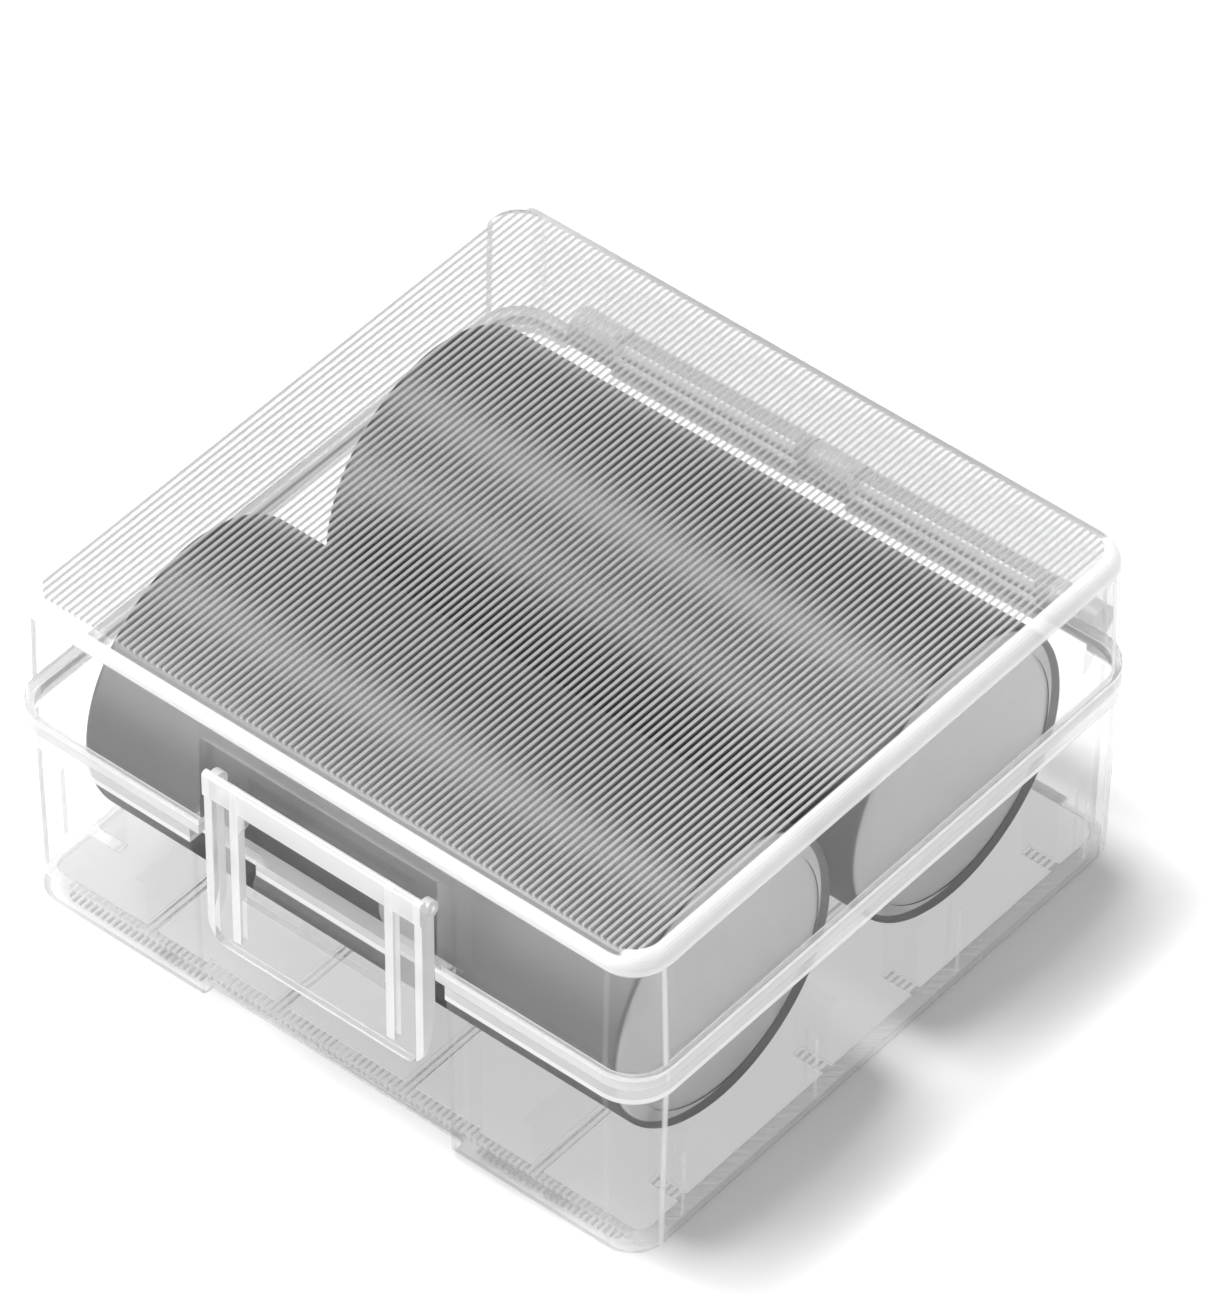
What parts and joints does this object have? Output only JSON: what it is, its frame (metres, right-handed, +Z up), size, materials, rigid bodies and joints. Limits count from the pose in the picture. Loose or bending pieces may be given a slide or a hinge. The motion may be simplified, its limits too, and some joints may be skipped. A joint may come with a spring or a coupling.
{
  "type": "battery storage case",
  "caption": "Clear hinged plastic storage case with a windowed front latch, fine-ribbed lid, and wrapped cylindrical battery cells lying side by side in cradles.",
  "frame": {"origin": "on the surface the case stands on, under the middle of its bounding box", "axes": "+X along the cells, +Y from the latch towards the back hinge, +Z up"},
  "size_m": [0.0804, 0.081, 0.041],
  "materials": {
    "clear_plastic": "clear, slightly milky polypropylene with a smooth moulded gloss",
    "cell_can": "plain nickel-plated steel with a dull satin face",
    "cell_sleeve": "dark grey shrink sleeve with a soft sheen",
    "cell_washer": "pale insulating washer"
  },
  "bodies": {
    "base": {"base": "clear_plastic", "front_cell_can": "cell_can", "front_cell_sleeve": "cell_sleeve", "front_cell_washer": "cell_washer", "rear_cell_can": "cell_can", "rear_cell_sleeve": "cell_sleeve", "rear_cell_washer": "cell_washer"},
    "lid": {"lid": "clear_plastic"},
    "latch": {"latch": "clear_plastic"}
  },
  "joints": [
    {"name": "lid_hinge", "type": "hinge", "parent": "base", "child": "lid", "pos_m": [0, 0.03848, 0.0241], "axis": [-1, 0, 0], "range_deg": [0, 180]},
    {"name": "latch_pivot", "type": "hinge", "parent": "lid", "child": "latch", "pos_m": [0, -0.03887, 0.032], "axis": [-1, 0, 0], "range_deg": [0, 70]}
  ]
}
